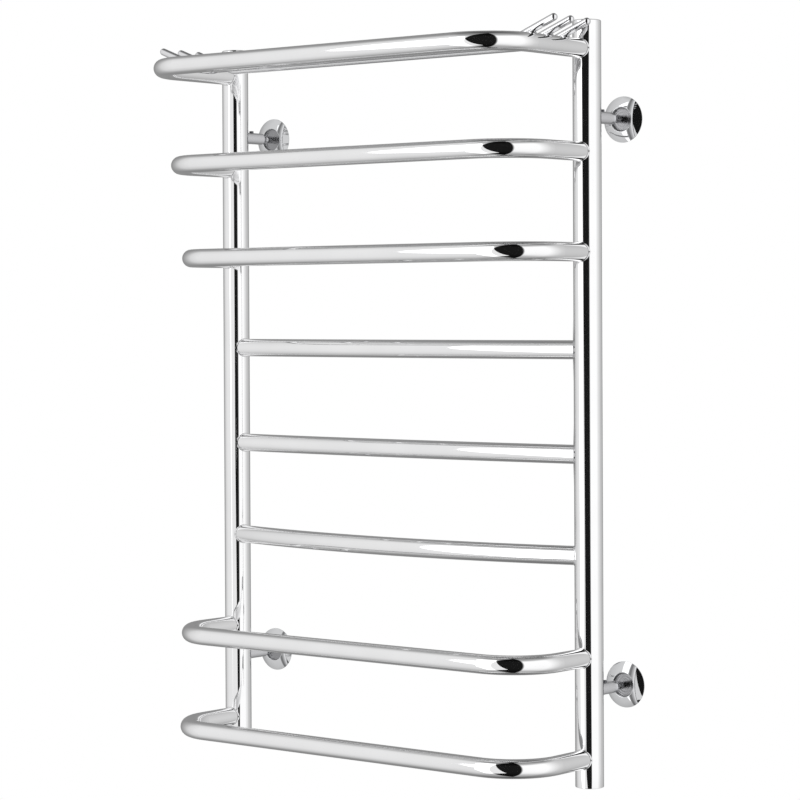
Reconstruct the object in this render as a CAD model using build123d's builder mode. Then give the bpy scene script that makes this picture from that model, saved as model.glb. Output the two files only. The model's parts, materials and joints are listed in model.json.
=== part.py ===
from build123d import *
from math import cos, radians, tan
import os

# Towel warmer rack: a water-heated ladder of round tubes between two collectors,
# held off the wall by four telescopic brackets.
# The origin is on the wall plane, at the centre of the four wall fixings.
# +X runs to the right, +Y into the wall and +Z up; all sizes are in millimetres.

# Collectors
collector_spacing = 500.0
collector_height = 800.0
collector_diameter = 30.0
collector_wall = 2.0
wall_distance = 66.0
cap_thickness = 3.0
cap_edge_radius = 1.5
bush_height = 14.0
bush_thread_diameter = 18.63
bush_mouth_chamfer = 0.8
spigot_depth = 4.0
spigot_clearance = 0.05

# Cross tubes, numbered from the top
tube_diameter = 20.0
tube_wall = 1.5
tube_count = 8
end_margin = 30.0
bend_radius = 55.0
bow_reach = {1: 152.0, 2: 125.0, 3: 108.0, 7: 112.0, 8: 115.0}
rung_bulge = {4: 12.0, 5: 12.0, 6: 34.0}
# How far a tube sits above the even pitch
tube_lift = {2: -1.3, 4: 3.8}

# Shelf rods on the top bow
rod_diameter = 8.0
rod_slope = 21.0
rod_knee_radius = 25.0
rod_overhang = 25.0
rod_middle_lift = 3.0
rod_weld_depth = 0.4
rod_bend_gap = 1.0
rod_collector_gap = 15.7
rod_names = ("front", "middle", "rear")

# Telescopic brackets
bracket_spacing = 600.0
sleeve_reach = 48.0
sleeve_wall = 1.95
sleeve_nose_length = 4.5
sleeve_nose_taper = 1.4
pin_diameter = 9.0
pin_clearance = 0.05
pin_end_gap = 5.0
pin_chamfer = 0.5
fixing_thread_diameter = 5.0
fixing_thread_depth = 12.0

# Grub screws that clamp the pins
grub_setback = 12.3
grub_diameter = 5.0
grub_length = 4.0
grub_clearance = 0.05
grub_chamfer = 0.4
grub_key = 2.5
grub_key_depth = 2.0

# Rosettes against the wall
rosette_diameter = 49.0
rosette_rim = 0.6
rosette_height = 5.2
rosette_dome_sag = 0.4
rosette_mouth_diameter = 25.6
rosette_mouth_rounding = 0.8
rosette_recess_draft = 0.6
rosette_floor_height = 1.3
rosette_floor_rounding = 1.5
rosette_sheet = 1.0
rosette_clearance = 0.08

# Air vents near the tops of the collectors
vent_below_top = 18.0
vent_seat_diameter = 11.0
vent_seat_height = 2.0
vent_thread_diameter = 6.0
vent_clearance = 0.05
vent_head_diameter = 8.0
vent_head_height = 1.8
vent_head_gap = 0.1
vent_slot_width = 1.0
vent_slot_depth = 1.0

# Derived places
collector_x = collector_spacing / 2
collector_y = -wall_distance
collector_radius = collector_diameter / 2
collector_top = collector_height / 2
collector_bottom = -collector_height / 2
collector_bore = collector_radius - collector_wall
tube_radius = tube_diameter / 2
tube_bore = tube_radius - tube_wall
tube_pitch = (collector_height - 2 * end_margin) / (tube_count - 1)
tube_z = {n: collector_top - end_margin - (n - 1) * tube_pitch for n in range(1, tube_count + 1)}
for number, lift in tube_lift.items():
    tube_z[number] += lift
sides = {"left": -1, "right": 1}
levels = {"top": bracket_spacing / 2, "bottom": -bracket_spacing / 2}
pin_radius = pin_diameter / 2
sleeve_bore = pin_radius + pin_clearance
sleeve_radius = sleeve_bore + sleeve_wall
sleeve_end = collector_y + sleeve_reach
pin_start = collector_y + collector_radius + pin_end_gap
grub_y = collector_y + collector_radius + grub_setback
grub_hole_radius = grub_diameter / 2 + grub_clearance
vent_z = collector_top - vent_below_top
vent_face = collector_y + collector_radius + vent_seat_height
vent_thread_radius = vent_thread_diameter / 2

os.makedirs("parts", exist_ok=True)

# Collector tubes stand on the bushes and carry the caps, with a port for each cross tube.
for side, sign in sides.items():
    tube_foot = collector_bottom + bush_height
    tube_length = collector_height - bush_height - cap_thickness
    with BuildPart() as collector:
        with BuildSketch(Plane.XY.offset(tube_foot)):
            with Locations((sign * collector_x, collector_y)):
                Circle(collector_radius)
                Circle(collector_bore, mode=Mode.SUBTRACT)
        extrude(amount=tube_length)
        # Round ports at the front, where the bows join
        with BuildSketch(Plane.XZ.offset(-collector_y)):
            with Locations([(sign * collector_x, tube_z[n]) for n in bow_reach]):
                Circle(tube_bore)
        extrude(amount=collector_diameter, mode=Mode.SUBTRACT)
        # Round ports on the inner side, where the rungs join
        with BuildSketch(Plane.YZ.offset(sign * collector_x)):
            with Locations([(collector_y, tube_z[n]) for n in rung_bulge]):
                Circle(tube_bore)
        extrude(amount=-sign * collector_diameter, mode=Mode.SUBTRACT)
        # Threaded hole for the air vent at the back
        with BuildSketch(Plane.XZ.offset(-collector_y)):
            with Locations((sign * collector_x, vent_z)):
                Circle(vent_thread_radius + vent_clearance)
        extrude(amount=-collector_diameter, mode=Mode.SUBTRACT)
    collector.part.label = f"collector_{side}"
    export_step(collector.part, f"parts/collector_{side}.step")

# Flat caps close the tops, each with a spigot inside the tube.
for side, sign in sides.items():
    with BuildPart() as cap:
        with BuildSketch(Plane.XY.offset(collector_top - cap_thickness)):
            with Locations((sign * collector_x, collector_y)):
                Circle(collector_radius)
        extrude(amount=cap_thickness)
        fillet(cap.faces().sort_by(Axis.Z)[-1].edges(), radius=cap_edge_radius)
        with BuildSketch(Plane.XY.offset(collector_top - cap_thickness)):
            with Locations((sign * collector_x, collector_y)):
                Circle(collector_bore - spigot_clearance)
        extrude(amount=-spigot_depth)
    cap.part.label = f"top_cap_{side}"
    export_step(cap.part, f"parts/top_cap_{side}.step")

# Threaded bushes end the collectors below, for the water connections.
for side, sign in sides.items():
    with BuildPart() as bush:
        with BuildSketch(Plane.XY.offset(collector_bottom)):
            with Locations((sign * collector_x, collector_y)):
                Circle(collector_radius)
        extrude(amount=bush_height)
        with BuildSketch(Plane.XY.offset(collector_bottom + bush_height)):
            with Locations((sign * collector_x, collector_y)):
                Circle(collector_bore - spigot_clearance)
        extrude(amount=spigot_depth)
        with BuildSketch(Plane.XY.offset(collector_bottom)):
            with Locations((sign * collector_x, collector_y)):
                Circle(bush_thread_diameter / 2)
        extrude(amount=bush_height + spigot_depth, mode=Mode.SUBTRACT)
        mouth = bush.faces().sort_by(Axis.Z)[0].edges().sort_by(SortBy.RADIUS)
        chamfer(mouth, length=bush_mouth_chamfer)
    bush.part.label = f"bottom_bush_{side}"
    export_step(bush.part, f"parts/bottom_bush_{side}.step")

# Bows leave the collectors square to the wall and turn into a straight front bar.
for number, reach in bow_reach.items():
    front_y = collector_y - reach
    with BuildPart() as bow:
        with BuildLine(Plane.XY.offset(tube_z[number])) as bow_path:
            FilletPolyline(
                (-collector_x, collector_y),
                (-collector_x, front_y),
                (collector_x, front_y),
                (collector_x, collector_y),
                radius=bend_radius,
            )
        with BuildSketch(Plane(origin=bow_path.line @ 0, z_dir=bow_path.line % 0)):
            Circle(tube_radius)
            Circle(tube_bore, mode=Mode.SUBTRACT)
        sweep(path=bow_path.line)
        # The ends are saddled to the collectors
        with BuildSketch(Plane.XY.offset(tube_z[number] - tube_diameter)):
            with Locations((-collector_x, collector_y), (collector_x, collector_y)):
                Circle(collector_radius)
        extrude(amount=2 * tube_diameter, mode=Mode.SUBTRACT)
    bow.part.label = f"bow_{number}"
    export_step(bow.part, f"parts/bow_{number}.step")

# Rungs join the inner sides of the collectors and bulge gently to the front.
for number, bulge in rung_bulge.items():
    with BuildPart() as rung:
        with BuildLine(Plane.XY.offset(tube_z[number])) as rung_path:
            ThreePointArc(
                (-collector_x, collector_y),
                (0, collector_y - bulge),
                (collector_x, collector_y),
            )
        with BuildSketch(Plane(origin=rung_path.line @ 0, z_dir=rung_path.line % 0)):
            Circle(tube_radius)
            Circle(tube_bore, mode=Mode.SUBTRACT)
        sweep(path=rung_path.line)
        # The ends are saddled to the collectors
        with BuildSketch(Plane.XY.offset(tube_z[number] - tube_diameter)):
            with Locations((-collector_x, collector_y), (collector_x, collector_y)):
                Circle(collector_radius)
        extrude(amount=2 * tube_diameter, mode=Mode.SUBTRACT)
    rung.part.label = f"rung_{number}"
    export_step(rung.part, f"parts/rung_{number}.step")

# Shelf rods lie across the arms of the top bow, their ends raised and rounded.
rod_radius = rod_diameter / 2
shelf_z = tube_z[1]
rod_rise = (tube_radius + rod_radius - rod_weld_depth) / cos(radians(rod_slope))
rod_knee_x = collector_x - (rod_rise - rod_middle_lift) / tan(radians(rod_slope))
rod_tip_x = collector_x + rod_overhang
rod_tip_z = shelf_z + rod_rise + rod_overhang * tan(radians(rod_slope))
rod_front_y = collector_y - bow_reach[1] + bend_radius + rod_radius + rod_bend_gap
rod_rear_y = collector_y - collector_radius - rod_radius - rod_collector_gap
rod_pitch = (rod_rear_y - rod_front_y) / (len(rod_names) - 1)
for place, name in enumerate(rod_names):
    rod_y = rod_front_y + place * rod_pitch
    with BuildPart() as rod:
        with BuildLine(Plane.XZ.offset(-rod_y)) as rod_path:
            FilletPolyline(
                (-rod_tip_x, rod_tip_z),
                (-rod_knee_x, shelf_z + rod_middle_lift),
                (rod_knee_x, shelf_z + rod_middle_lift),
                (rod_tip_x, rod_tip_z),
                radius=rod_knee_radius,
            )
        with BuildSketch(Plane(origin=rod_path.line @ 0, z_dir=rod_path.line % 0)):
            Circle(rod_radius)
        sweep(path=rod_path.line)
        with Locations((-rod_tip_x, rod_y, rod_tip_z), (rod_tip_x, rod_y, rod_tip_z)):
            Sphere(rod_radius)
        # Shallow saddles where the rod is welded onto the arms
        with BuildSketch(Plane.XZ.offset(-rod_y)):
            with Locations((-collector_x, shelf_z), (collector_x, shelf_z)):
                Circle(tube_radius)
        extrude(amount=rod_diameter, both=True, mode=Mode.SUBTRACT)
    rod.part.label = f"shelf_rod_{name}"
    export_step(rod.part, f"parts/shelf_rod_{name}.step")

# Bracket sleeves are welded to the backs of the collectors.
for side, sign in sides.items():
    for level, bracket_z in levels.items():
        bracket_x = sign * collector_x
        with BuildPart() as sleeve:
            with BuildSketch(Plane.XZ.offset(-collector_y)):
                with Locations((bracket_x, bracket_z)):
                    Circle(sleeve_radius)
            extrude(amount=-sleeve_reach)
            nose = sleeve.faces().sort_by(Axis.Y)[-1]
            chamfer(nose.edges(), length=sleeve_nose_taper, length2=sleeve_nose_length, reference=nose)
            with BuildSketch(Plane.XZ.offset(-collector_y)):
                with Locations((bracket_x, bracket_z)):
                    Circle(sleeve_bore)
            extrude(amount=-sleeve_reach, mode=Mode.SUBTRACT)
            # Saddle on the collector
            with BuildSketch(Plane.XY.offset(bracket_z - collector_diameter)):
                with Locations((bracket_x, collector_y)):
                    Circle(collector_radius)
            extrude(amount=2 * collector_diameter, mode=Mode.SUBTRACT)
            # Threaded hole for the grub screw, through the upper wall only
            with BuildSketch(Plane.XY.offset(bracket_z)):
                with Locations((bracket_x, grub_y)):
                    Circle(grub_hole_radius)
            extrude(amount=sleeve_radius, mode=Mode.SUBTRACT)
        sleeve.part.label = f"bracket_sleeve_{side}_{level}"
        export_step(sleeve.part, f"parts/bracket_sleeve_{side}_{level}.step")

# Wall pins slide in the sleeves and are tapped for the wall studs.
for side, sign in sides.items():
    for level, bracket_z in levels.items():
        bracket_x = sign * collector_x
        with BuildPart() as pin:
            with BuildSketch(Plane.XZ):
                with Locations((bracket_x, bracket_z)):
                    Circle(pin_radius)
            extrude(amount=-pin_start)
            chamfer(pin.edges().filter_by(GeomType.CIRCLE), length=pin_chamfer)
            with BuildSketch(Plane.XZ):
                with Locations((bracket_x, bracket_z)):
                    Circle(fixing_thread_diameter / 2)
            extrude(amount=fixing_thread_depth, mode=Mode.SUBTRACT)
        pin.part.label = f"wall_pin_{side}_{level}"
        export_step(pin.part, f"parts/wall_pin_{side}_{level}.step")

# Rosettes are domed shells with a deep recess round the hole that the pin passes through.
rosette_radius = rosette_diameter / 2
mouth_radius = rosette_mouth_diameter / 2
recess_radius = mouth_radius - rosette_recess_draft
rosette_hole = pin_radius + rosette_clearance
rosette_back = rosette_sheet - rosette_floor_height
for side, sign in sides.items():
    for level, bracket_z in levels.items():
        bracket_x = sign * collector_x
        with BuildPart() as rosette:
            with BuildSketch(Plane(origin=(bracket_x, 0, bracket_z))) as rosette_half:
                with BuildLine():
                    Polyline(
                        (rosette_radius - rosette_sheet, 0),
                        (rosette_radius, 0),
                        (rosette_radius, -rosette_rim),
                    )
                    SagittaArc(
                        (rosette_radius, -rosette_rim),
                        (mouth_radius, -rosette_height),
                        rosette_dome_sag,
                    )
                    Polyline(
                        (mouth_radius, -rosette_height),
                        (recess_radius, -rosette_floor_height),
                        (rosette_hole, -rosette_floor_height),
                        (rosette_hole, rosette_back),
                        (mouth_radius + rosette_sheet, rosette_back),
                        (mouth_radius + 2 * rosette_sheet, rosette_sheet - rosette_height),
                        (rosette_radius - rosette_sheet, 0),
                    )
                make_face()
                front_corners = rosette_half.vertices().sort_by(Axis.Y)
                fillet(front_corners[0], radius=rosette_mouth_rounding)
            revolve(axis=Axis((bracket_x, 0, bracket_z), (0, 1, 0)))
            recess_foot = rosette.faces().filter_by(Axis.Y).sort_by(Axis.Y)[0].edges().sort_by(SortBy.RADIUS)
            fillet(recess_foot[-1], radius=rosette_floor_rounding)
        rosette.part.label = f"rosette_{side}_{level}"
        export_step(rosette.part, f"parts/rosette_{side}_{level}.step")

# Grub screws press on the pins from above.
for side, sign in sides.items():
    for level, bracket_z in levels.items():
        bracket_x = sign * collector_x
        grub_foot = bracket_z + pin_radius + pin_clearance
        with BuildPart() as grub:
            with BuildSketch(Plane.XY.offset(grub_foot)):
                with Locations((bracket_x, grub_y)):
                    Circle(grub_diameter / 2)
            extrude(amount=grub_length)
            chamfer(grub.edges().filter_by(GeomType.CIRCLE), length=grub_chamfer)
            with BuildSketch(Plane.XY.offset(grub_foot + grub_length)):
                with Locations((bracket_x, grub_y)):
                    RegularPolygon(grub_key / 2, 6, major_radius=False)
            extrude(amount=-grub_key_depth, mode=Mode.SUBTRACT)
        grub.part.label = f"grub_screw_{side}_{level}"
        export_step(grub.part, f"parts/grub_screw_{side}_{level}.step")

# Vent seats are welded over the vent holes at the backs of the collectors.
for side, sign in sides.items():
    with BuildPart() as seat:
        with BuildSketch(Plane.XZ.offset(-collector_y)):
            with Locations((sign * collector_x, vent_z)):
                Circle(vent_seat_diameter / 2)
                Circle(vent_thread_radius + vent_clearance, mode=Mode.SUBTRACT)
        extrude(amount=-(collector_radius + vent_seat_height))
        with BuildSketch(Plane.XY.offset(vent_z - collector_diameter)):
            with Locations((sign * collector_x, collector_y)):
                Circle(collector_radius)
        extrude(amount=2 * collector_diameter, mode=Mode.SUBTRACT)
    seat.part.label = f"vent_seat_{side}"
    export_step(seat.part, f"parts/vent_seat_{side}.step")

# Vent screws close the seats and have a slotted head.
for side, sign in sides.items():
    head_back = vent_face + vent_head_gap
    with BuildPart() as vent:
        with BuildSketch(Plane.XZ.offset(-head_back)):
            with Locations((sign * collector_x, vent_z)):
                Circle(vent_thread_radius)
        extrude(amount=vent_head_gap + vent_seat_height + collector_wall)
        with BuildSketch(Plane.XZ.offset(-head_back)):
            with Locations((sign * collector_x, vent_z)):
                Circle(vent_head_diameter / 2)
        extrude(amount=-vent_head_height)
        with BuildSketch(Plane.XZ.offset(-head_back - vent_head_height)):
            with Locations((sign * collector_x, vent_z)):
                Rectangle(vent_head_diameter, vent_slot_width)
        extrude(amount=vent_slot_depth, mode=Mode.SUBTRACT)
    vent.part.label = f"vent_screw_{side}"
    export_step(vent.part, f"parts/vent_screw_{side}.step")
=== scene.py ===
"""Looks of the towel warmer rack: polished tubes, welds, pipe threads, brackets and the studio round them."""

import json
import logging
from collections.abc import Callable
from dataclasses import dataclass, field
from enum import Enum
from math import atan2, cos, pi, radians, sin, tan

import bpy
from mathutils import Matrix, Vector


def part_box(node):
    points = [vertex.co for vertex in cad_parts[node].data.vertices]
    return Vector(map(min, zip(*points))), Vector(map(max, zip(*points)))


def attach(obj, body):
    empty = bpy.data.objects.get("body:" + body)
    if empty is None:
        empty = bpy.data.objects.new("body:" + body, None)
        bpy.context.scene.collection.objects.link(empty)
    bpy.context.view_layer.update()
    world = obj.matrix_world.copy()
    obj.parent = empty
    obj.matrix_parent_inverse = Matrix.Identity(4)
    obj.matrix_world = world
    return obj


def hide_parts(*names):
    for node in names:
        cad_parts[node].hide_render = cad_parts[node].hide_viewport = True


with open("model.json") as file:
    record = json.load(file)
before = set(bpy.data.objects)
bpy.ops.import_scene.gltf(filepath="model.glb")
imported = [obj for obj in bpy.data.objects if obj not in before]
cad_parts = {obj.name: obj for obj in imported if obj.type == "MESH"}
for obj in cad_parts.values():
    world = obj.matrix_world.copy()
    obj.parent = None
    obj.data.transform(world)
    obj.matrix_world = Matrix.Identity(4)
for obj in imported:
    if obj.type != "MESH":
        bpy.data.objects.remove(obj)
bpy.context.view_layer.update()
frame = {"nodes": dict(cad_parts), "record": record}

MM = 0.001
RACK = "rack"
BOW_NUMBERS = (1, 2, 3, 7, 8)
RUNG_NUMBERS = (4, 5, 6)
SHELF_RODS = ("front", "middle", "rear")
BAR_FACETS = 96
THREAD_FACETS = 72
NEAR = 0.01 * MM
log = logging.getLogger("towel_rack")


class Side(Enum):
    """The two halves of the rack, each with the sign of its X."""

    LEFT = -1
    RIGHT = 1

    @property
    def word(self) -> str:
        """The side's name as the nodes spell it."""
        return self.name.lower()


class Level(Enum):
    """The two heights of the wall brackets."""

    TOP = 1
    BOTTOM = -1

    @property
    def word(self) -> str:
        """The level's name as the nodes spell it."""
        return self.name.lower()


class CrossTubeKind(Enum):
    """How a cross tube joins the collectors."""

    BOW = "bow"
    RUNG = "rung"


class Slot(Enum):
    """The record's material slots."""

    TUBE = "tube_steel"
    ROD = "rod_steel"
    BRACKET = "bracket_chrome"


# ---------------------------------------------------------------- finishes


@dataclass(frozen=True)
class PolishedMetal:
    """A bright metal finish with polishing marks, soft ripples and a wandering haze.

    Attributes:
        name: Name of the material.
        colour: Base colour of the metal.
        roughness: Mean roughness of the polish.
        haze: How far the roughness wanders over the surface.
        tint: How far the colour wanders towards a darker tone, from 0 to 1.
        ripple: Height of the long soft ripples, in metres.
        scratch: Height of the fine polishing marks, in metres.
        scratch_scale: Marks per metre.
        scratch_detail: Octaves of the marks.
        cloud_scale: Clouds of haze per metre.
        cloud_detail: Octaves of the haze.
        ripple_scale: Ripples per metre.
        ripple_detail: Octaves of the ripples.
    """

    name: str
    colour: tuple[float, float, float]
    roughness: float = 0.05
    haze: float = 0.03
    tint: float = 0.04
    ripple: float = 0.00001
    scratch: float = 0.000001
    scratch_scale: float = 900.0
    scratch_detail: float = 2.0
    cloud_scale: float = 18.0
    cloud_detail: float = 4.0
    ripple_scale: float = 12.0
    ripple_detail: float = 1.0

    def material(self) -> bpy.types.Material:
        """Builds the material once and returns it.

        Returns:
            The node material of this finish.
        """
        made = bpy.data.materials.get(self.name)
        if made:
            return made
        made = bpy.data.materials.new(self.name)
        made.use_nodes = True
        tree = made.node_tree
        tree.nodes.clear()
        output = tree.nodes.new("ShaderNodeOutputMaterial")
        shader = tree.nodes.new("ShaderNodeBsdfPrincipled")
        shader.inputs["Metallic"].default_value = 1.0
        tree.links.new(shader.outputs["BSDF"], output.inputs["Surface"])
        place = tree.nodes.new("ShaderNodeTexCoord").outputs["Object"]
        clouds = self._noise(tree, place, self.cloud_scale, self.cloud_detail)
        tree.links.new(self._tones(tree, clouds), shader.inputs["Base Color"])
        tree.links.new(self._sheen(tree, clouds), shader.inputs["Roughness"])
        waves = self._noise(tree, place, self.ripple_scale, self.ripple_detail)
        marks = self._noise(tree, place, self.scratch_scale, self.scratch_detail)
        long_bump = self._bump(tree, waves, self.ripple)
        fine_bump = self._bump(tree, marks, self.scratch)
        tree.links.new(long_bump.outputs["Normal"], fine_bump.inputs["Normal"])
        tree.links.new(fine_bump.outputs["Normal"], shader.inputs["Normal"])
        self.add_detail(tree, place)
        return made

    @staticmethod
    def _noise(tree: bpy.types.NodeTree, place: bpy.types.NodeSocket, scale: float,
               detail: float) -> bpy.types.NodeSocket:
        """Adds a noise over the object's own coordinates.

        Args:
            tree: The material's node tree.
            place: The coordinates' socket.
            scale: Cells per metre.
            detail: Octaves of the noise.

        Returns:
            The noise's value socket.
        """
        noise = tree.nodes.new("ShaderNodeTexNoise")
        noise.inputs["Scale"].default_value = scale
        noise.inputs["Detail"].default_value = detail
        tree.links.new(place, noise.inputs["Vector"])
        return noise.outputs["Fac"]

    def _tones(self, tree: bpy.types.NodeTree, clouds: bpy.types.NodeSocket) -> bpy.types.NodeSocket:
        """Lets the colour wander a little with the haze.

        Args:
            tree: The material's node tree.
            clouds: The slow noise.

        Returns:
            The colour socket.
        """
        tones = tree.nodes.new("ShaderNodeValToRGB")
        dark = tuple(part * (1.0 - self.tint) for part in self.colour)
        tones.color_ramp.elements[0].color = (*dark, 1.0)
        tones.color_ramp.elements[1].color = (*self.colour, 1.0)
        tones.color_ramp.elements[0].position = 0.3
        tones.color_ramp.elements[1].position = 0.7
        tree.links.new(clouds, tones.inputs["Fac"])
        return tones.outputs["Color"]

    def _sheen(self, tree: bpy.types.NodeTree, clouds: bpy.types.NodeSocket) -> bpy.types.NodeSocket:
        """Spreads the roughness round its mean.

        Args:
            tree: The material's node tree.
            clouds: The slow noise.

        Returns:
            The roughness socket.
        """
        spread = tree.nodes.new("ShaderNodeMapRange")
        spread.inputs["To Min"].default_value = self.roughness - self.haze / 2
        spread.inputs["To Max"].default_value = self.roughness + self.haze / 2
        tree.links.new(clouds, spread.inputs["Value"])
        return spread.outputs["Result"]

    @staticmethod
    def _bump(tree: bpy.types.NodeTree, height: bpy.types.NodeSocket, distance: float) -> bpy.types.Node:
        """Adds a bump of a given height.

        Args:
            tree: The material's node tree.
            height: The height's socket.
            distance: Height of the bump, in metres.

        Returns:
            The bump node.
        """
        bump = tree.nodes.new("ShaderNodeBump")
        bump.inputs["Strength"].default_value = 1.0
        bump.inputs["Distance"].default_value = distance
        tree.links.new(height, bump.inputs["Height"])
        return bump

    @staticmethod
    def _math(tree: bpy.types.NodeTree, operation: str, first: bpy.types.NodeSocket,
              second: bpy.types.NodeSocket | float | None = None) -> bpy.types.NodeSocket:
        """Adds a calculation with one or two values.

        Args:
            tree: The node tree.
            operation: The math node's operation.
            first: The first value's socket.
            second: The second value, as a socket or a number.

        Returns:
            The result's socket.
        """
        step = tree.nodes.new("ShaderNodeMath")
        step.operation = operation
        tree.links.new(first, step.inputs[0])
        if isinstance(second, float):
            step.inputs[1].default_value = second
        elif second is not None:
            tree.links.new(second, step.inputs[1])
        return step.outputs["Value"]

    def add_detail(self, tree: bpy.types.NodeTree, place: bpy.types.NodeSocket) -> None:
        """Lets a special finish add nodes of its own; a plain one adds none."""

    def dress(self, *pieces: bpy.types.Object) -> None:
        """Gives the finish to every material slot of the pieces.

        Args:
            pieces: The objects to dress.
        """
        for piece in pieces:
            if not piece.material_slots:
                piece.data.materials.append(self.material())
            for slot in piece.material_slots:
                slot.material = self.material()


@dataclass(frozen=True)
class DishMetal(PolishedMetal):
    """The finish of the rosettes: polished domes round a darker recess with turning marks; the recess's
    darkness is partly the unpolished metal's own grey and partly painted shade.

    Attributes:
        recess: Radius of the recess, in metres.
        soft: Width over which the polish ends, in metres.
        dark: Colour inside the recess: the unpolished metal's own grey, darkened further as painted shade.
        satin: Roughness inside the recess.
        turning: Turning marks per metre of radius.
        groove: Depth of the turning marks, in metres.
    """

    recess: float = 12.1 * MM
    soft: float = 0.3 * MM
    # painted shade: this grey is darker than the recess's bare metal, so that it also stands for the shade
    # inside the recess
    dark: tuple[float, float, float] = (0.30, 0.30, 0.31)
    satin: float = 0.26
    turning: float = 330.0
    groove: float = 0.00004

    def add_detail(self, tree: bpy.types.NodeTree, place: bpy.types.NodeSocket) -> None:
        """Darkens and roughens the recess, and cuts its turning marks; the darkening is partly the metal's
        own grey and partly painted shade.

        Args:
            tree: The material's node tree.
            place: The coordinates' socket.
        """
        radius = self._from_pin(tree, place)
        inside = tree.nodes.new("ShaderNodeMapRange")
        inside.inputs["From Min"].default_value = self.recess + self.soft / 2
        inside.inputs["From Max"].default_value = self.recess - self.soft / 2
        tree.links.new(radius, inside.inputs["Value"])
        shader = next(node for node in tree.nodes if node.type == "BSDF_PRINCIPLED")
        self._darken(tree, shader, inside.outputs["Result"])
        self._roughen(tree, shader, inside.outputs["Result"])
        self._turn_marks(tree, shader, inside.outputs["Result"], radius)

    def _darken(self, tree: bpy.types.NodeTree, shader: bpy.types.Node, inside: bpy.types.NodeSocket) -> None:
        """Gives the recess its colour: the unpolished metal's own grey, darkened further as painted shade.

        Args:
            tree: The material's node tree.
            shader: The shader node.
            inside: The share of recess, from 0 to 1.
        """
        colour = tree.nodes.new("ShaderNodeMix")
        colour.data_type = "RGBA"
        ends = {socket.name: socket for socket in colour.inputs if socket.type == "RGBA"}
        tree.links.new(shader.inputs["Base Color"].links[0].from_socket, ends["A"])
        # the recess's grey, which is partly painted shade inside the recess
        ends["B"].default_value = (*self.dark, 1.0)
        tree.links.new(inside, colour.inputs["Factor"])
        blended = next(socket for socket in colour.outputs if socket.type == "RGBA")
        tree.links.new(blended, shader.inputs["Base Color"])

    def _roughen(self, tree: bpy.types.NodeTree, shader: bpy.types.Node,
                 inside: bpy.types.NodeSocket) -> None:
        """Gives the recess its own roughness.

        Args:
            tree: The material's node tree.
            shader: The shader node.
            inside: The share of recess, from 0 to 1.
        """
        rough = tree.nodes.new("ShaderNodeMix")
        tree.links.new(inside, rough.inputs["Factor"])
        tree.links.new(shader.inputs["Roughness"].links[0].from_socket, rough.inputs["A"])
        rough.inputs["B"].default_value = self.satin
        tree.links.new(rough.outputs["Result"], shader.inputs["Roughness"])

    def _turn_marks(self, tree: bpy.types.NodeTree, shader: bpy.types.Node, inside: bpy.types.NodeSocket,
                    radius: bpy.types.NodeSocket) -> None:
        """Cuts rings round the pin into the recess.

        Args:
            tree: The material's node tree.
            shader: The shader node.
            inside: The share of recess, from 0 to 1.
            radius: The distance from the pin's axis.
        """
        turns = self._math(tree, "MULTIPLY", radius, 2 * pi * self.turning)
        depth = self._math(tree, "MULTIPLY", self._math(tree, "SINE", turns), inside)
        bump = self._bump(tree, depth, self.groove)
        tree.links.new(shader.inputs["Normal"].links[0].from_socket, bump.inputs["Normal"])
        tree.links.new(bump.outputs["Normal"], shader.inputs["Normal"])

    def _from_pin(self, tree: bpy.types.NodeTree, place: bpy.types.NodeSocket) -> bpy.types.NodeSocket:
        """Measures the distance from the nearest pin's axis; the four pins mirror each other.

        Args:
            tree: The material's node tree.
            place: The coordinates' socket.

        Returns:
            The distance's socket.
        """
        low, high = (Vector(corner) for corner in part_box("rosette_right_top"))
        centre = (low + high) / 2
        parts = tree.nodes.new("ShaderNodeSeparateXYZ")
        tree.links.new(place, parts.inputs["Vector"])
        flat = tree.nodes.new("ShaderNodeCombineXYZ")
        for name, middle in (("X", centre.x), ("Z", centre.z)):
            size = self._math(tree, "ABSOLUTE", parts.outputs[name])
            tree.links.new(self._math(tree, "SUBTRACT", size, middle), flat.inputs[name])
        length = tree.nodes.new("ShaderNodeVectorMath")
        length.operation = "LENGTH"
        tree.links.new(flat.outputs["Vector"], length.inputs[0])
        return length.outputs["Value"]


TUBE_STEEL = PolishedMetal("mirror_steel", (0.92, 0.92, 0.925), roughness=0.035, haze=0.02)
ROD_STEEL = PolishedMetal("rod_steel", (0.88, 0.88, 0.885), roughness=0.05, haze=0.03)
CHROME = PolishedMetal("bracket_chrome", (0.86, 0.865, 0.875), roughness=0.035, haze=0.02)
DISH_CHROME = DishMetal("rosette_chrome", (0.7, 0.705, 0.715), roughness=0.035, haze=0.02)
PIN_STEEL = PolishedMetal("turned_steel", (0.78, 0.78, 0.79), roughness=0.12, haze=0.05, scratch_scale=2600.0)
SCREW_STEEL = PolishedMetal("black_screw_steel", (0.13, 0.13, 0.14), roughness=0.32, haze=0.1,
                            scratch=0.000004)
WELD_STEEL = PolishedMetal("polished_weld", (0.84, 0.84, 0.85), roughness=0.11, haze=0.05, tint=0.15,
                           ripple=0.00002, scratch=0.00003, scratch_scale=700.0)
THREAD_STEEL = PolishedMetal("cut_thread", (0.80, 0.80, 0.80), roughness=0.16, haze=0.06, scratch=0.000003,
                             scratch_scale=1800.0)


# ---------------------------------------------------------------- workshop


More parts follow.
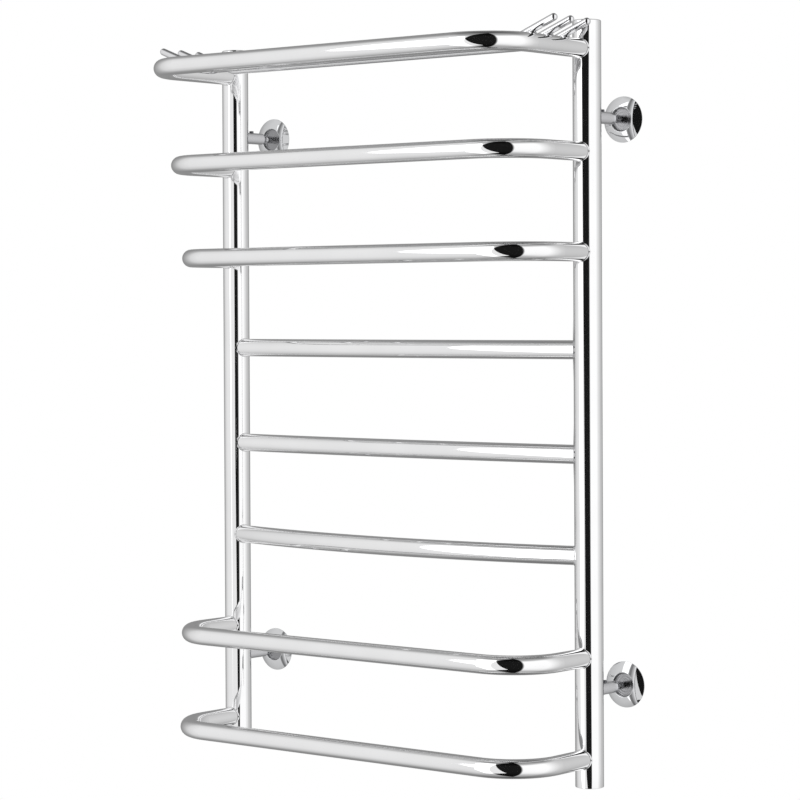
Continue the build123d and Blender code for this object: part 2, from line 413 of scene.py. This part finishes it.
class Bench:
    """Modelling steps that the pieces share."""

    @staticmethod
    def pick(*pieces: bpy.types.Object) -> None:
        """Selects only the given pieces, with the first one active.

        Args:
            pieces: The objects to select.
        """
        bpy.ops.object.select_all(action="DESELECT")
        for piece in pieces:
            piece.select_set(True)
        bpy.context.view_layer.objects.active = pieces[0]

    @staticmethod
    def settle(piece: bpy.types.Object) -> None:
        """Moves the piece's place and turn into its mesh.

        Args:
            piece: The object to settle.
        """
        Bench.pick(piece)
        bpy.ops.object.transform_apply(location=True, rotation=True, scale=True)

    @staticmethod
    def cut(piece: bpy.types.Object, tool: bpy.types.Object, operation: str) -> None:
        """Applies a boolean and throws the tool away.

        Args:
            piece: The object to shape.
            tool: The object that shapes it.
            operation: INTERSECT or DIFFERENCE.
        """
        Bench.pick(piece)
        step = piece.modifiers.new("cut", "BOOLEAN")
        step.operation = operation
        step.solver = "EXACT"
        step.object = tool
        bpy.ops.object.modifier_apply(modifier=step.name)
        bpy.data.objects.remove(tool, do_unlink=True)

    @staticmethod
    def select_edges(piece: bpy.types.Object, chosen: Callable[[Vector], bool]) -> None:
        """Goes into edit mode with the edges selected whose two ends pass a test of place.

        Args:
            piece: The object, settled.
            chosen: The test of a vertex's place.
        """
        Bench.pick(piece)
        bpy.ops.object.mode_set(mode="EDIT")
        bpy.ops.mesh.select_mode(type="EDGE")
        bpy.ops.mesh.select_all(action="DESELECT")
        bpy.ops.object.mode_set(mode="OBJECT")
        places = [chosen(vertex.co) for vertex in piece.data.vertices]
        for edge in piece.data.edges:
            edge.select = all(places[end] for end in edge.vertices)
        bpy.ops.object.mode_set(mode="EDIT")

    @staticmethod
    def smooth(piece: bpy.types.Object, angle: float) -> None:
        """Leaves edit mode and shades smooth below an angle.

        Args:
            piece: The object to shade.
            angle: The angle in degrees.
        """
        if bpy.context.mode != "OBJECT":
            bpy.ops.object.mode_set(mode="OBJECT")
        Bench.pick(piece)
        bpy.ops.object.shade_smooth_by_angle(angle=radians(angle))

    @staticmethod
    def copy(piece: bpy.types.Object, shift: Vector) -> bpy.types.Object:
        """Copies a piece with its own mesh to another place.

        Args:
            piece: The object to copy.
            shift: How far the copy is moved.

        Returns:
            The copy.
        """
        twin = piece.copy()
        twin.data = piece.data.copy()
        twin.data.transform(Matrix.Translation(shift))
        bpy.context.scene.collection.objects.link(twin)
        return twin

    @staticmethod
    def join(name: str, pieces: list[bpy.types.Object]) -> bpy.types.Object:
        """Joins pieces into one.

        Args:
            name: Name of the joined piece.
            pieces: The objects to join.

        Returns:
            The joined object.
        """
        Bench.pick(*pieces)
        if len(pieces) > 1:
            bpy.ops.object.join()
        pieces[0].name = name
        pieces[0].data.name = name
        return pieces[0]

    @staticmethod
    def hand_in(piece: bpy.types.Object, finish: PolishedMetal, slot: Slot) -> None:
        """Dresses a new piece and lets it ride on the rack.

        Args:
            piece: The finished object.
            finish: Its finish.
            slot: The record's material slot; not used.
        """
        finish.dress(piece)
        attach(piece, RACK)
        log.info("%s: %d faces", piece.name, len(piece.data.polygons))


@dataclass(frozen=True)
class RoundBar:
    """A straight round bar or tube.

    Attributes:
        radius: Outer radius, in metres.
        start: One end of its axis.
        end: The other end of its axis.
    """

    radius: float
    start: Vector
    end: Vector

    def cylinder(self, grow: float, reach: float) -> bpy.types.Object:
        """Adds a cylinder round the bar.

        Args:
            grow: How much wider its radius is than the bar's.
            reach: How far it stands out at each end.

        Returns:
            The cylinder, settled.
        """
        along = self.end - self.start
        bpy.ops.mesh.primitive_cylinder_add(
            vertices=BAR_FACETS,
            radius=self.radius + grow,
            depth=along.length + 2 * reach,
            location=(self.start + self.end) / 2,
            rotation=along.to_track_quat("Z", "Y").to_euler(),
        )
        made = bpy.context.object
        Bench.settle(made)
        return made

    def off_axis(self, point: Vector) -> float:
        """Measures how far a point is from the bar's axis.

        Args:
            point: The point.

        Returns:
            The distance in metres.
        """
        along = (self.end - self.start).normalized()
        away = point - self.start
        return (away - along * away.dot(along)).length


@dataclass(frozen=True)
class Weld:
    """A polished bead in the corner between two round bars.

    Attributes:
        first: The bar that is welded on.
        second: The bar that carries it.
        width: How far the bead stands out from both bars.
        bite: How deep it is sunk into both.
        steps: Facets of its rounding.
        rounding: Size of its rounding, as a share of the width.
        crease: Edges below this angle are shaded smooth, in degrees.
        overrun: How far the tools that hollow it reach past its ends.
    """

    first: RoundBar
    second: RoundBar
    width: float = 0.9 * MM
    bite: float = 0.3 * MM
    steps: int = 3
    rounding: float = 0.85
    crease: float = 50.0
    overrun: float = 2 * MM

    def model(self) -> bpy.types.Object:
        """Models the bead from the two bars' own surfaces.

        Returns:
            The bead.
        """
        bead = self.first.cylinder(self.width, 0.0)
        Bench.cut(bead, self.second.cylinder(self.width, 0.0), "INTERSECT")
        Bench.cut(bead, self.second.cylinder(-self.bite, self.overrun), "DIFFERENCE")
        Bench.cut(bead, self.first.cylinder(-self.bite, self.overrun), "DIFFERENCE")
        Bench.select_edges(bead, self._on_crest)
        bpy.ops.mesh.bevel(offset=self.rounding * self.width, segments=self.steps, profile=0.5,
                           affect="EDGES")
        Bench.smooth(bead, self.crease)
        return bead

    def _on_crest(self, point: Vector) -> bool:
        """Tells whether a point lies on the bead's outer corner.

        Args:
            point: The point.

        Returns:
            True where it is on the corner.
        """
        near = 2 * NEAR
        return (abs(self.first.off_axis(point) - self.first.radius - self.width) < near
                and abs(self.second.off_axis(point) - self.second.radius - self.width) < near)


# ---------------------------------------------------------------- the rack


@dataclass
class Post:
    """One collector with its cap and its threaded bush.

    Attributes:
        side: Which collector it is.
        thread_pitch: Pitch of the pipe thread.
        thread_root: Radius at the thread's root, in the bush.
        thread_crest: Width of the flat on the thread's crest.
        thread_turns: Turns of the thread.
        spigot_depth: Height of the bush's spigot.
        spigot_step: How much smaller the spigot's radius is than the bush's.
        mouth: Chamfer of the bush's lower rims.
        thread_foot: Half the width of the thread's foot, as a share of its pitch.
        thread_sink: How deep the thread's foot is sunk into the bush.
        crease: Edges of the bush below this angle are shaded smooth, in degrees.
    """

    side: Side
    thread_pitch: float = 1.814 * MM
    thread_root: float = 10.45 * MM
    thread_crest: float = 0.24 * MM
    thread_turns: int = 8
    spigot_depth: float = 4.0 * MM
    spigot_step: float = 2.05 * MM
    mouth: float = 0.8 * MM
    thread_foot: float = 0.44
    thread_sink: float = 0.15 * MM
    crease: float = 35.0
    low: Vector = field(init=False)
    high: Vector = field(init=False)

    def __post_init__(self) -> None:
        """Takes the collector's place from its node."""
        self.low, self.high = (Vector(corner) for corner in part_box(f"collector_{self.side.word}"))

    @property
    def radius(self) -> float:
        """The collector's outer radius."""
        return (self.high.x - self.low.x) / 2

    def axis_at(self, height: float) -> Vector:
        """Gives the point of the axis at a height."""
        return Vector(((self.low.x + self.high.x) / 2, (self.low.y + self.high.y) / 2, height))

    @property
    def bore(self) -> float:
        """The radius at the thread's crest, from the record's water connection."""
        mounts = {mount["name"]: mount for mount in frame["record"]["mounts"]}
        return mounts[f"water_{self.side.word}"]["dims"]["r_mm"] * MM

    def stretch(self, height: float, reach: float) -> RoundBar:
        """Gives the short length of the collector round a height.

        Args:
            height: Height of its middle.
            reach: Half its length.

        Returns:
            The length as a round bar.
        """
        return RoundBar(self.radius, self.axis_at(height - reach), self.axis_at(height + reach))

    def bush_body(self, foot: float, head: float) -> bpy.types.Object:
        """Turns the bush with its spigot, its bore and its chamfered mouth.

        Args:
            foot: Height of its lower face.
            head: Height of its spigot's top.

        Returns:
            The bush without its thread.
        """
        shoulder = head - self.spigot_depth
        body = RoundBar(self.radius, self.axis_at(foot), self.axis_at(shoulder)).cylinder(0.0, 0.0)
        bpy.ops.object.mode_set(mode="EDIT")
        bpy.ops.mesh.select_mode(type="FACE")
        bpy.ops.mesh.select_all(action="DESELECT")
        bpy.ops.object.mode_set(mode="OBJECT")
        for face in body.data.polygons:
            face.select = face.center.z > shoulder - NEAR and face.normal.z > 0.9
        bpy.ops.object.mode_set(mode="EDIT")
        bpy.ops.mesh.inset(thickness=self.spigot_step)
        bpy.ops.mesh.extrude_region_move(TRANSFORM_OT_translate={"value": (0, 0, self.spigot_depth)})
        bpy.ops.object.mode_set(mode="OBJECT")
        bore = RoundBar(self.thread_root, self.axis_at(foot), self.axis_at(head))
        Bench.cut(body, bore.cylinder(0.0, 1 * MM), "DIFFERENCE")
        Bench.select_edges(body, lambda point: point.z < foot + NEAR)
        bpy.ops.mesh.bevel(offset=self.mouth, segments=2, profile=0.5, affect="EDGES")
        bpy.ops.object.mode_set(mode="OBJECT")
        return body

    def thread(self, foot: float) -> bpy.types.Object:
        """Winds the thread's ridge up the bore.

        Args:
            foot: Height of the bush's lower face.

        Returns:
            The ridge.
        """
        crest = self.bore
        base = self.thread_root + self.thread_sink
        half_foot = self.thread_foot * self.thread_pitch
        half_crest = self.thread_crest / 2
        bpy.ops.object.select_all(action="DESELECT")
        bpy.ops.mesh.primitive_plane_add(size=1 * MM)
        ridge = bpy.context.object
        corners = ((base, -half_foot), (crest, -half_crest), (base, half_foot), (crest, half_crest))
        for vertex, (out, up) in zip(ridge.data.vertices, corners):
            vertex.co = (out, 0.0, up)
        winding = ridge.modifiers.new("winding", "SCREW")
        winding.angle = 2 * pi
        winding.screw_offset = self.thread_pitch
        winding.iterations = self.thread_turns
        winding.steps = THREAD_FACETS
        winding.render_steps = THREAD_FACETS
        bpy.ops.object.modifier_apply(modifier=winding.name)
        bpy.ops.object.mode_set(mode="EDIT")
        bpy.ops.mesh.select_all(action="SELECT")
        bpy.ops.mesh.remove_doubles(threshold=NEAR / 10)
        bpy.ops.mesh.select_mode(type="EDGE")
        bpy.ops.mesh.select_all(action="DESELECT")
        bpy.ops.mesh.select_non_manifold()
        bpy.ops.mesh.fill_holes(sides=4)
        bpy.ops.mesh.select_all(action="SELECT")
        bpy.ops.mesh.normals_make_consistent(inside=False)
        bpy.ops.object.mode_set(mode="OBJECT")
        ridge.location = self.axis_at(foot + self.mouth + half_foot)
        Bench.settle(ridge)
        return ridge

    def build(self) -> None:
        """Dresses the collector and its cap, and makes the threaded bush."""
        word = self.side.word
        TUBE_STEEL.dress(frame["nodes"][f"collector_{word}"], frame["nodes"][f"top_cap_{word}"])
        low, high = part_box(f"bottom_bush_{word}")
        body = self.bush_body(low[2], high[2])
        TUBE_STEEL.dress(body)
        ridge = self.thread(low[2])
        THREAD_STEEL.dress(ridge)
        bush = Bench.join(f"threaded_bush_{word}", [body, ridge])
        Bench.smooth(bush, self.crease)
        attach(bush, RACK)
        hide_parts(f"bottom_bush_{word}")
        TUBE_STEEL.dress(frame["nodes"][f"bottom_bush_{word}"])
        log.info("post %s: cap, collector and bush with %d turns of thread", word, self.thread_turns)


@dataclass
class CrossTube:
    """A bow or a rung with the welds at its two ends.

    Attributes:
        kind: Bow or rung.
        number: Its number from the top.
        posts: The two collectors.
        bench_copies: Welds modelled already, by the direction that they lie in.
    """

    kind: CrossTubeKind
    number: int
    posts: dict[Side, Post]
    bench_copies: dict[tuple, tuple[bpy.types.Object, float]]

    @property
    def node(self) -> str:
        """The name of the tube's node."""
        return f"{self.kind.value}_{self.number}"

    def direction(self, side: Side) -> Vector:
        """Finds the way in which the tube leaves a collector.

        Args:
            side: Which collector.

        Returns:
            The unit vector away from the collector.
        """
        if self.kind is CrossTubeKind.BOW:
            return Vector((0, -1, 0))
        low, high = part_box(self.node)
        post = self.posts[side].axis_at(0.0)
        bulge = post.y - (low[1] + (high[2] - low[2]) / 2)
        turn = 2 * atan2(bulge, abs(post.x))
        return Vector((-side.value * cos(turn), -sin(turn), 0))

    def weld(self, side: Side) -> bpy.types.Object:
        """Makes the weld at one end, or copies one that lies the same way.

        Args:
            side: Which end.

        Returns:
            The weld.
        """
        low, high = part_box(self.node)
        height = (low[2] + high[2]) / 2
        radius = (high[2] - low[2]) / 2
        post = self.posts[side]
        away = self.direction(side)
        key = (side, round(away.x, 3), round(away.y, 3))
        if key in self.bench_copies:
            pattern, made_at = self.bench_copies[key]
            return Bench.copy(pattern, Vector((0, 0, height - made_at)))
        foot = post.axis_at(height)
        arm = RoundBar(radius, foot, foot + away * 2 * post.radius)
        made = Weld(arm, post.stretch(height, 2 * radius)).model()
        self.bench_copies[key] = (made, height)
        return Bench.copy(made, Vector((0, 0, 0)))

    def build(self) -> None:
        """Dresses the tube and makes its welds."""
        TUBE_STEEL.dress(frame["nodes"][self.node])
        welds = Bench.join(f"{self.node}_welds", [self.weld(side) for side in Side])
        Bench.hand_in(welds, WELD_STEEL, Slot.TUBE)


@dataclass
class ShelfRod:
    """A rod of the shelf with the welds on the two arms that it lies across.

    Attributes:
        name: The rod's place in the shelf.
        posts: The two collectors, whose axes the arms run through.
        slope: How steeply the rod's ends rise, in degrees.
        reach: Half the length of rod and arm that the weld is made from.
    """

    name: str
    posts: dict[Side, Post]
    slope: float = 21.0
    reach: float = 12.0 * MM

    def weld(self, side: Side) -> bpy.types.Object:
        """Makes the weld where the rod crosses one arm.

        Args:
            side: Which arm.

        Returns:
            The weld.
        """
        low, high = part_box(f"shelf_rod_{self.name}")
        bow_low, bow_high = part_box("bow_1")
        rod_radius = (high[1] - low[1]) / 2
        rod_y = (low[1] + high[1]) / 2
        arm_radius = (bow_high[2] - bow_low[2]) / 2
        arm_z = (bow_low[2] + bow_high[2]) / 2
        arm_x = self.posts[side].axis_at(0.0).x
        climb = tan(radians(self.slope))
        tip_x = side.value * (high[0] - rod_radius)
        rod_z = high[2] - rod_radius - abs(tip_x - arm_x) * climb
        middle = Vector((arm_x, rod_y, rod_z))
        along = Vector((side.value, 0, climb)).normalized()
        rod = RoundBar(rod_radius, middle - along * self.reach, middle + along * self.reach)
        arm = RoundBar(arm_radius, Vector((arm_x, rod_y - self.reach, arm_z)),
                       Vector((arm_x, rod_y + self.reach, arm_z)))
        return Weld(rod, arm, width=1.0 * MM, bite=0.2 * MM).model()

    def build(self) -> None:
        """Dresses the rod and makes its welds."""
        ROD_STEEL.dress(frame["nodes"][f"shelf_rod_{self.name}"])
        welds = Bench.join(f"shelf_rod_{self.name}_welds", [self.weld(side) for side in Side])
        Bench.hand_in(welds, WELD_STEEL, Slot.ROD)


@dataclass
class WallSeat:
    """A round piece welded to the back of a collector: a bracket's sleeve or a vent's seat.

    Attributes:
        node: The piece's node.
        post: The collector that carries it.
        width: Width of its weld.
        slot: The record's material slot of the weld.
    """

    node: str
    post: Post
    width: float
    slot: Slot

    def weld(self) -> bpy.types.Object:
        """Makes the weld at the piece's foot.

        Returns:
            The weld.
        """
        low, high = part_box(self.node)
        height = (low[2] + high[2]) / 2
        radius = (high[2] - low[2]) / 2
        foot = self.post.axis_at(height)
        stub = RoundBar(radius, foot, foot + Vector((0, 2 * self.post.radius, 0)))
        made = Weld(stub, self.post.stretch(height, 2 * radius), width=self.width).model()
        made.name = f"{self.node}_weld"
        Bench.hand_in(made, WELD_STEEL, self.slot)
        return made


@dataclass
class Bracket:
    """A telescopic wall bracket.

    Attributes:
        side: Which collector it is on.
        level: Which height it is at.
        post: That collector.
    """

    side: Side
    level: Level
    post: Post

    def build(self) -> None:
        """Dresses the sleeve, pin, rosette and grub screw, and welds the sleeve's foot."""
        corner = f"{self.side.word}_{self.level.word}"
        CHROME.dress(frame["nodes"][f"bracket_sleeve_{corner}"])
        DISH_CHROME.dress(frame["nodes"][f"rosette_{corner}"])
        PIN_STEEL.dress(frame["nodes"][f"wall_pin_{corner}"])
        SCREW_STEEL.dress(frame["nodes"][f"grub_screw_{corner}"])
        WallSeat(f"bracket_sleeve_{corner}", self.post, 0.8 * MM, Slot.BRACKET).weld()


@dataclass
class Vent:
    """An air vent at the back of a collector.

    Attributes:
        side: Which collector it is on.
        post: That collector.
    """

    side: Side
    post: Post

    def build(self) -> None:
        """Dresses the seat and its screw, and welds the seat's foot."""
        CHROME.dress(frame["nodes"][f"vent_seat_{self.side.word}"])
        PIN_STEEL.dress(frame["nodes"][f"vent_screw_{self.side.word}"])
        WallSeat(f"vent_seat_{self.side.word}", self.post, 0.5 * MM, Slot.BRACKET).weld()


# ---------------------------------------------------------------- studio


@dataclass
class Studio:
    """The pale room, the soft light and the camera.

    Attributes:
        azimuth: Angle of the camera to the right of the rack's front, in degrees.
        pitch: Angle of the camera above the level, in degrees.
        roll: Turn of the camera about its own axis, in degrees.
        place: Where the camera stands, in metres.
        lens: Focal length in millimetres.
        lift: Vertical shift of the frame.
        floor_height: Height of the floor, in metres.
        floor_size: Width of the floor, in metres.
        card_size: Width and height of the white card in front, in metres.
        card_place: Middle of the card, in metres.
        card_lean: How far the card leans to the left at its top, in degrees.
        card_light: Brightness of the card.
        floor_tone: Grey of the floor.
        floor_roughness: Roughness of the floor.
        walls: Brightness of the mirrored room over the angle round it, in degrees.
        levels: Its brightness over the angle of height, in degrees.
    """

    azimuth: float = 39.55
    pitch: float = -0.703
    roll: float = -0.277
    place: tuple[float, float, float] = (1.9054, -2.3784, 0.0985)
    lens: float = 122.42
    lift: float = -0.07
    floor_height: float = -0.95
    floor_size: float = 2.4
    card_size: tuple[float, float] = (0.75, 2.4)
    card_place: tuple[float, float, float] = (-0.085, -0.95, 0.0)
    card_lean: float = 14.0
    card_light: float = 0.87
    floor_tone: float = 0.86
    floor_roughness: float = 0.9
    walls: tuple[tuple[float, float], ...] = (
        (-180, 0.36), (-145, 0.28), (-115, 0.3), (-95, 0.46), (-75, 0.73), (-50, 0.86), (-20, 0.88),
        (-8, 0.92), (-6, 0.01), (53, 0.01), (56, 1.1), (106, 1.1), (120, 0.9), (138, 0.68), (160, 0.56),
        (180, 0.5))
    levels: tuple[tuple[float, float], ...] = (
        (-90, 0.3), (-62, 0.5), (-50, 0.74), (-42, 0.87), (-26, 0.97), (0, 1.0), (44, 1.02), (50, 0.8),
        (60, 0.45), (75, 0.3), (90, 0.2))

    def camera(self) -> bpy.types.Object:
        """Stands the camera and makes it the scene's.

        Returns:
            The camera object.
        """
        turn, tip, roll = radians(self.azimuth), radians(self.pitch), radians(self.roll)
        level = Vector((-sin(turn), cos(turn), 0.0))
        across = Vector((cos(turn), sin(turn), 0.0))
        ahead = level * cos(tip) + Vector((0, 0, 1)) * sin(tip)
        above = Vector((0, 0, 1)) * cos(tip) - level * sin(tip)
        right = across * cos(roll) + above * sin(roll)
        up = above * cos(roll) - across * sin(roll)
        data = bpy.data.cameras.new("camera")
        data.sensor_width = 36.0
        data.lens = self.lens
        data.shift_y = self.lift
        data.clip_end = 50.0
        camera = bpy.data.objects.new("camera", data)
        bpy.context.scene.collection.objects.link(camera)
        turned = Matrix((right, up, -ahead)).transposed().to_4x4()
        camera.matrix_world = Matrix.Translation(self.place) @ turned
        bpy.context.scene.camera = camera
        return camera

    def floor(self) -> bpy.types.Object:
        """Lays the plain pale floor, which the polished tubes don't mirror.

        Returns:
            The floor object.
        """
        bpy.ops.mesh.primitive_plane_add(size=self.floor_size, location=(0, 0, self.floor_height))
        floor = bpy.context.object
        floor.name = "floor"
        floor.visible_glossy = False
        paint = bpy.data.materials.new("floor_paint")
        paint.use_nodes = True
        shader = paint.node_tree.nodes["Principled BSDF"]
        shader.inputs["Base Color"].default_value = (self.floor_tone, self.floor_tone, self.floor_tone, 1.0)
        shader.inputs["Roughness"].default_value = self.floor_roughness
        floor.data.materials.append(paint)
        return floor

    def surroundings(self) -> None:
        """Builds the room that the metal mirrors, with its dark opening; the page behind stays white."""
        world = bpy.data.worlds.new("studio")
        bpy.context.scene.world = world
        world.use_nodes = True
        nodes = world.node_tree.nodes
        links = world.node_tree.links
        nodes.clear()
        output = nodes.new("ShaderNodeOutputWorld")
        ray = nodes.new("ShaderNodeTexCoord")
        part = nodes.new("ShaderNodeSeparateXYZ")
        links.new(ray.outputs["Generated"], part.inputs["Vector"])
        front = nodes.new("ShaderNodeMath")
        front.operation = "MULTIPLY"
        front.inputs[1].default_value = -1.0
        links.new(part.outputs["Y"], front.inputs[0])
        bearing = nodes.new("ShaderNodeMath")
        bearing.operation = "ARCTAN2"
        links.new(part.outputs["X"], bearing.inputs[0])
        links.new(front.outputs["Value"], bearing.inputs[1])
        around = self._span(nodes, links, bearing.outputs["Value"], -pi, pi)
        height = nodes.new("ShaderNodeMath")
        height.operation = "ARCSINE"
        links.new(part.outputs["Z"], height.inputs[0])
        rise = self._span(nodes, links, height.outputs["Value"], -pi / 2, pi / 2)
        walls = self._bands(nodes, links, around, 360.0, self.walls)
        levels = self._bands(nodes, links, rise, 180.0, self.levels)
        mirrored = nodes.new("ShaderNodeMath")
        mirrored.operation = "MULTIPLY"
        links.new(walls, mirrored.inputs[0])
        links.new(levels, mirrored.inputs[1])
        room = nodes.new("ShaderNodeBackground")
        links.new(mirrored.outputs["Value"], room.inputs["Color"])
        page = nodes.new("ShaderNodeBackground")
        page.inputs["Color"].default_value = (1.0, 1.0, 1.0, 1.0)
        path = nodes.new("ShaderNodeLightPath")
        choose = nodes.new("ShaderNodeMixShader")
        links.new(path.outputs["Is Glossy Ray"], choose.inputs["Fac"])
        links.new(page.outputs["Background"], choose.inputs[1])
        links.new(room.outputs["Background"], choose.inputs[2])
        links.new(choose.outputs["Shader"], output.inputs["Surface"])

    def card(self) -> bpy.types.Object:
        """Stands the white card whose edge bounds the dark opening that the metal mirrors.

        Returns:
            The card, a soft area light that only reflections show.
        """
        width, height = self.card_size
        data = bpy.data.lights.new("card", "AREA")
        data.shape = "RECTANGLE"
        data.size = width
        data.size_y = height
        data.energy = self.card_light * pi * width * height
        data.cycles.use_multiple_importance_sampling = True
        card = bpy.data.objects.new("card", data)
        bpy.context.scene.collection.objects.link(card)
        lean = Matrix.Rotation(radians(-self.card_lean), 4, "Y")
        facing = Matrix.Rotation(radians(90), 4, "X")
        card.matrix_world = Matrix.Translation(self.card_place) @ lean @ facing
        card.visible_camera = False
        card.visible_diffuse = False
        return card

    @staticmethod
    def _span(nodes: bpy.types.Nodes, links: bpy.types.NodeLinks, value: bpy.types.NodeSocket,
              low: float, high: float) -> bpy.types.NodeSocket:
        """Maps a value from its span to 0 to 1.

        Args:
            nodes: Nodes of the tree.
            links: Links of the tree.
            value: The value's socket.
            low: Start of the span.
            high: End of the span.

        Returns:
            The mapped value's socket.
        """
        span = nodes.new("ShaderNodeMapRange")
        span.inputs["From Min"].default_value = low
        span.inputs["From Max"].default_value = high
        links.new(value, span.inputs["Value"])
        return span.outputs["Result"]

    @staticmethod
    def _bands(nodes: bpy.types.Nodes, links: bpy.types.NodeLinks, value: bpy.types.NodeSocket,
               turn: float, stops: tuple[tuple[float, float], ...]) -> bpy.types.NodeSocket:
        """Makes a ramp of brightness over an angle.

        Args:
            nodes: Nodes of the tree.
            links: Links of the tree.
            value: The angle's socket, mapped to 0 to 1.
            turn: The whole angle that the ramp spans, in degrees, centred on 0.
            stops: Pairs of an angle in degrees and a brightness.

        Returns:
            The brightness socket.
        """
        ramp = nodes.new("ShaderNodeValToRGB")
        places = ramp.color_ramp.elements
        while len(places) > 1:
            places.remove(places[-1])
        for number, (angle, light) in enumerate(stops):
            spot = places[0] if number == 0 else places.new(angle / turn + 0.5)
            spot.position = angle / turn + 0.5
            spot.color = (light, light, light, 1.0)
        links.new(value, ramp.inputs["Fac"])
        return ramp.outputs["Color"]

    def build(self) -> None:
        """Stands the camera, lays the floor and lights the room."""
        self.camera()
        self.floor()
        self.surroundings()
        self.card()
        bpy.context.scene.view_settings.view_transform = "Standard"
        log.info("studio ready")


def main() -> None:
    """Builds the studio, then the rack piece by piece."""
    Studio().build()
    posts = {side: Post(side) for side in Side}
    for post in posts.values():
        post.build()
    patterns: dict[tuple, tuple[bpy.types.Object, float]] = {}
    for number in BOW_NUMBERS:
        CrossTube(CrossTubeKind.BOW, number, posts, patterns).build()
    for number in RUNG_NUMBERS:
        CrossTube(CrossTubeKind.RUNG, number, posts, patterns).build()
    for pattern, _ in patterns.values():
        bpy.data.objects.remove(pattern, do_unlink=True)
    for name in SHELF_RODS:
        ShelfRod(name, posts).build()
    for side, post in posts.items():
        Vent(side, post).build()
        for level in Level:
            Bracket(side, level, post).build()


if __name__ == "__main__":
    logging.basicConfig(level=logging.INFO, format="%(message)s")
    main()
